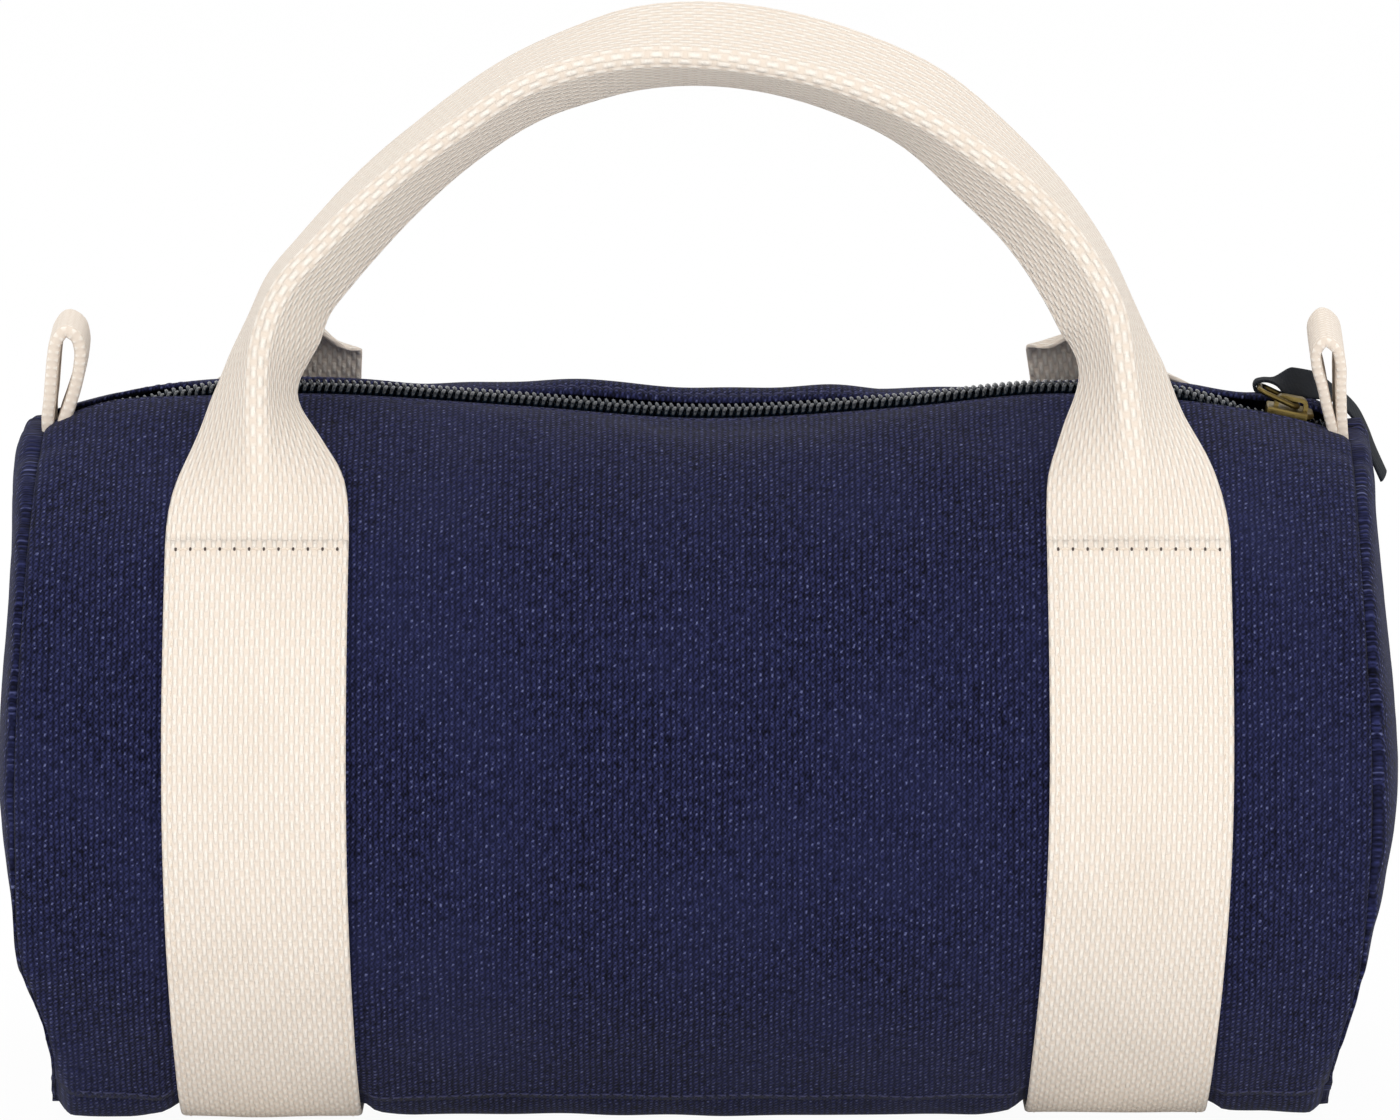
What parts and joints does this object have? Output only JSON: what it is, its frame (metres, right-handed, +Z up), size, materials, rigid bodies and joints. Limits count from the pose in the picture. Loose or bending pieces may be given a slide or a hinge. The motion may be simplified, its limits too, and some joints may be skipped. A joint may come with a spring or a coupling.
{
  "type": "barrel bag",
  "caption": "Canvas barrel bag with a full-length zip on top, webbing straps that run round it and rise into two carry handles, and a tape loop at the top of each end seam.",
  "frame": {"origin": "on the ground under the middle of the bag, at the underside of the straps", "axes": "+X along the bag towards the closed slider, -Y the front, +Z up"},
  "size_m": [0.386, 0.2056, 0.3084],
  "materials": {
    "canvas": "heavy plain-weave cotton canvas, navy",
    "binding": "cotton binding tape, navy",
    "webbing": "thick cotton webbing, undyed cream",
    "zip_tape": "woven zip tape, dark navy",
    "zip_teeth": "nylon coil, dark blue-green",
    "brass": "antique brass, half polished",
    "ribbon": "folded ribbon, dark blue-green"
  },
  "bodies": {
    "bag": {"front_panel": "canvas", "back_panel": "canvas", "base_panel": "canvas", "left_end_panel": "canvas", "right_end_panel": "canvas", "left_seam_binding": "binding", "right_seam_binding": "binding", "left_strap": "webbing", "right_strap": "webbing"},
    "front_mouth": {"front_lip": "canvas", "front_zip_tape": "zip_tape", "front_zip_chain": "zip_teeth"},
    "back_mouth": {"back_lip": "canvas", "back_zip_tape": "zip_tape", "back_zip_chain": "zip_teeth"},
    "front_grip": {"front_handle": "webbing"},
    "back_grip": {"back_handle": "webbing"},
    "slider": {"slider_body": "brass", "slider_crown": "brass", "pull_ribbon": "ribbon"},
    "pull": {"pull_ring": "brass"},
    "left_tab": {"left_loop": "webbing"},
    "right_tab": {"right_loop": "webbing"}
  },
  "joints": [
    {"name": "front_mouth_hinge", "type": "hinge", "parent": "bag", "child": "front_mouth", "pos_m": [0, -0.07076, 0.17137], "axis": [-1, 0, 0], "range_deg": [-60, 0], "deforming": ["front_zip_tape", "front_zip_chain"]},
    {"name": "back_mouth_hinge", "type": "hinge", "parent": "bag", "child": "back_mouth", "pos_m": [0, 0.07076, 0.17137], "axis": [1, 0, 0], "range_deg": [-60, 0], "deforming": ["back_zip_tape", "back_zip_chain"]},
    {"name": "zip_slide", "type": "slide", "parent": "bag", "child": "slider", "axis": [1, 0, 0], "range_m": [-0.318, 0], "deforming": ["pull_ribbon"]},
    {"name": "pull_ring_hinge", "type": "hinge", "parent": "slider", "child": "pull", "pos_m": [0.16546, 0, 0.19404], "axis": [0, 1, 0], "range_deg": [0, 80]},
    {"name": "front_handle_hinge", "type": "hinge", "parent": "front_mouth", "child": "front_grip", "pos_m": [0, -0.07076, 0.17137], "axis": [1, 0, 0], "range_deg": [0, 150]},
    {"name": "back_handle_hinge", "type": "hinge", "parent": "back_mouth", "child": "back_grip", "pos_m": [0, 0.07076, 0.17137], "axis": [-1, 0, 0], "range_deg": [0, 150]},
    {"name": "left_loop_bend", "type": "hinge", "parent": "bag", "child": "left_tab", "pos_m": [-0.18, 0, 0.1907], "axis": [0, 1, 0], "range_deg": [-67, 40], "stiffness_Nm_per_rad": 0.02},
    {"name": "right_loop_bend", "type": "hinge", "parent": "bag", "child": "right_tab", "pos_m": [0.18, 0, 0.1907], "axis": [0, -1, 0], "range_deg": [-69, 4], "stiffness_Nm_per_rad": 0.02}
  ],
  "couplings": [
    {"joint": "back_mouth_hinge", "follows": "front_mouth_hinge", "ratio": 1},
    {"joint": "zip_slide", "follows": "front_mouth_hinge", "m_per_rad": 0.30366}
  ]
}
